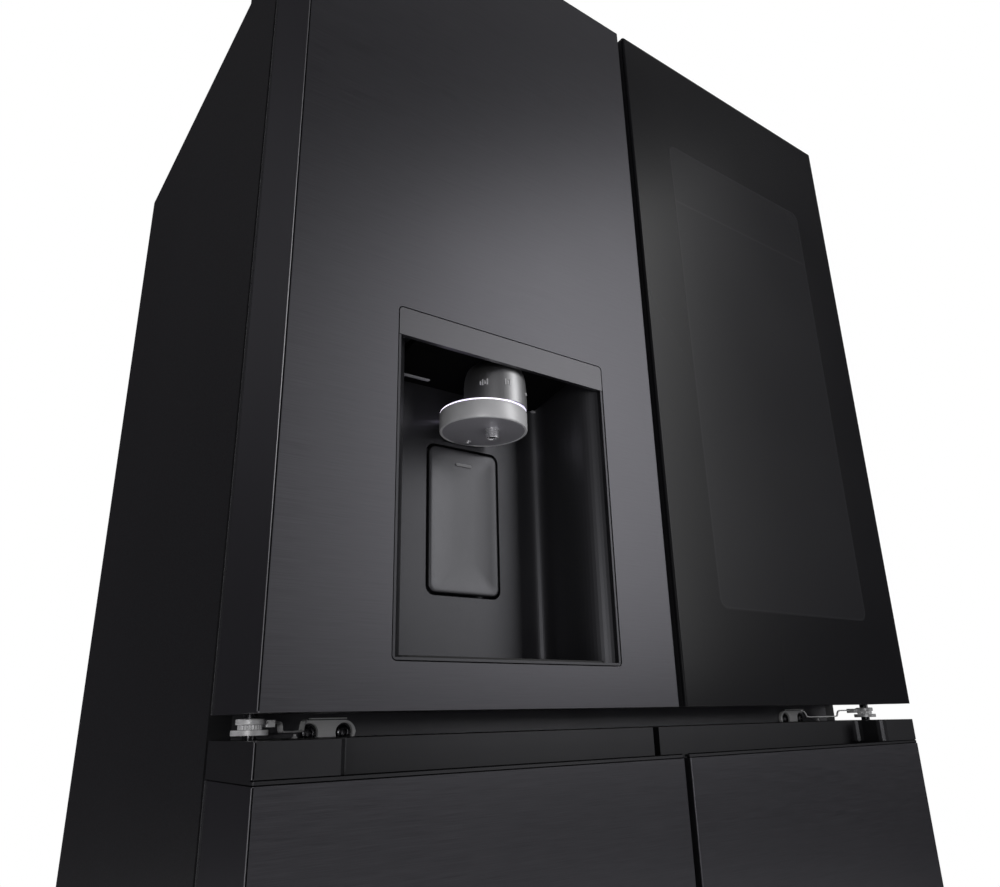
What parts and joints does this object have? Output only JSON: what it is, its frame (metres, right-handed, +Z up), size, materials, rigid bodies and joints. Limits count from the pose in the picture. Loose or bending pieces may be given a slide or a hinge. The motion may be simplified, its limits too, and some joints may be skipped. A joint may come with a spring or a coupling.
{
  "type": "french door refrigerator",
  "caption": "Refrigerator with upper French doors, one with a recessed dispenser and one with a glass outer door, above two lower freezer doors.",
  "frame": {"origin": "on the floor under the middle of the refrigerator", "axes": "+Z up, doors face -Y, +X to the right seen from the front"},
  "size_m": [0.912, 0.738, 1.793],
  "materials": {
    "brushed_dark_steel": "fine horizontal brushing, satin dark coating",
    "side_paint": "fine textured satin dark grey paint",
    "crossbar_paint": "satin dark grey paint",
    "galvanised_steel": "dull galvanised sheet",
    "foam": "rigid polyurethane foam",
    "liner_plastic": "white vacuum formed liner, soft gloss",
    "black_moulding": "fine grained black moulding",
    "foot_rubber": "matte",
    "compressor_black": "black enamel",
    "hinge_zinc": "bright zinc plate",
    "shelf_glass": "clear tempered glass in a pale frame",
    "clear_plastic": "clear moulded plastic",
    "door_seal": "soft ribbed vinyl seal",
    "dispenser_black": "satin to gloss black moulding",
    "nozzle_dark_metal": "satin dark metallic",
    "light_guide": "lit translucent ring",
    "satin_aluminium": "satin",
    "spout_chrome": "polished",
    "lever_black": "satin",
    "mullion_paint": "satin dark grey",
    "door_glass": "dark tinted tempered glass, satin gloss",
    "frame_black": "fine grained black moulding",
    "handle_cap_black": "satin dark moulding"
  },
  "bodies": {
    "cabinet": {"left_side_panel": "side_paint", "right_side_panel": "side_paint", "top_panel": "side_paint", "centre_crossbar": "crossbar_paint", "back_panel": "galvanised_steel", "base_frame": "galvanised_steel", "machine_room_cover": "galvanised_steel", "insulation_foam": "foam", "fresh_food_liner": "liner_plastic", "freezer_liner": "liner_plastic", "rear_duct_panel": "liner_plastic", "toe_grille": "black_moulding", "top_hinge_cover_left": "black_moulding", "top_hinge_cover_right": "black_moulding", "power_inlet": "black_moulding", "levelling_foot_left": "foot_rubber", "levelling_foot_right": "foot_rubber", "compressor": "compressor_black", "condenser": "compressor_black", "top_hinge_left": "hinge_zinc", "top_hinge_right": "hinge_zinc", "mid_hinge_left": "hinge_zinc", "mid_hinge_right": "hinge_zinc", "bottom_hinge_left": "hinge_zinc", "bottom_hinge_right": "hinge_zinc", "glass_shelf_upper": "shelf_glass", "glass_shelf_lower": "shelf_glass", "crisper_drawer_left": "clear_plastic", "crisper_drawer_right": "clear_plastic", "freezer_drawer_left": "clear_plastic", "freezer_drawer_right": "clear_plastic"},
    "upper_left_door": {"left_door_skin": "brushed_dark_steel", "left_door_inner": "liner_plastic", "left_door_seal": "door_seal", "dispenser_housing": "dispenser_black", "dispenser_fascia": "brushed_dark_steel", "nozzle_column": "nozzle_dark_metal", "nozzle_light_ring": "light_guide", "nozzle_disc": "satin_aluminium", "water_spout": "spout_chrome", "ice_maker_box": "liner_plastic", "left_door_bin": "clear_plastic"},
    "dispenser_lever": {"dispenser_lever": "lever_black"},
    "flip_mullion": {"flip_mullion": "mullion_paint"},
    "upper_right_door": {"right_door_inner": "liner_plastic", "right_door_seal": "door_seal", "right_door_bin": "clear_plastic"},
    "glass_outer_door": {"glass_door_frame": "frame_black", "glass_door_panel": "door_glass"},
    "lower_left_door": {"lower_left_skin": "brushed_dark_steel", "lower_left_inner": "liner_plastic", "lower_left_handle_cap": "handle_cap_black", "lower_left_seal": "door_seal"},
    "lower_right_door": {"lower_right_skin": "brushed_dark_steel", "lower_right_inner": "liner_plastic", "lower_right_handle_cap": "handle_cap_black", "lower_right_seal": "door_seal"},
    "condenser_fan": {"condenser_fan": "black_moulding"},
    "rear_roller_left": {"rear_roller_left": "black_moulding"},
    "rear_roller_right": {"rear_roller_right": "black_moulding"}
  },
  "joints": [
    {"name": "upper_left_door_hinge", "type": "hinge", "parent": "cabinet", "child": "upper_left_door", "pos_m": [-0.44, -0.309, 1.3275], "axis": [0, 0, -1], "range_deg": [0, 120]},
    {"name": "upper_right_door_hinge", "type": "hinge", "parent": "cabinet", "child": "upper_right_door", "pos_m": [0.44, -0.309, 1.3275], "axis": [0, 0, 1], "range_deg": [0, 120]},
    {"name": "glass_outer_door_hinge", "type": "hinge", "parent": "upper_right_door", "child": "glass_outer_door", "pos_m": [0.442, -0.333, 1.3275], "axis": [0, 0, 1], "range_deg": [0, 90]},
    {"name": "lower_left_door_hinge", "type": "hinge", "parent": "cabinet", "child": "lower_left_door", "pos_m": [-0.44, -0.309, 0.458], "axis": [0, 0, -1], "range_deg": [0, 120]},
    {"name": "lower_right_door_hinge", "type": "hinge", "parent": "cabinet", "child": "lower_right_door", "pos_m": [0.44, -0.309, 0.458], "axis": [0, 0, 1], "range_deg": [0, 120]},
    {"name": "dispenser_lever_press", "type": "hinge", "parent": "upper_left_door", "child": "dispenser_lever", "pos_m": [-0.21525, -0.2785, 1.137], "axis": [1, 0, 0], "range_deg": [0, 5], "stiffness_Nm_per_rad": 1},
    {"name": "flip_mullion_hinge", "type": "hinge", "parent": "upper_left_door", "child": "flip_mullion", "pos_m": [-0.023, -0.241, 1.3025], "axis": [0, 0, -1], "range_deg": [0, 90]},
    {"name": "condenser_fan_spin", "type": "hinge", "parent": "cabinet", "child": "condenser_fan", "pos_m": [0.02, 0.256, 0.15], "axis": [1, 0, 0], "continuous": true},
    {"name": "rear_roller_left_spin", "type": "hinge", "parent": "cabinet", "child": "rear_roller_left", "pos_m": [-0.381, 0.3, 0.02], "axis": [1, 0, 0], "continuous": true},
    {"name": "rear_roller_right_spin", "type": "hinge", "parent": "cabinet", "child": "rear_roller_right", "pos_m": [0.381, 0.3, 0.02], "axis": [1, 0, 0], "continuous": true}
  ]
}
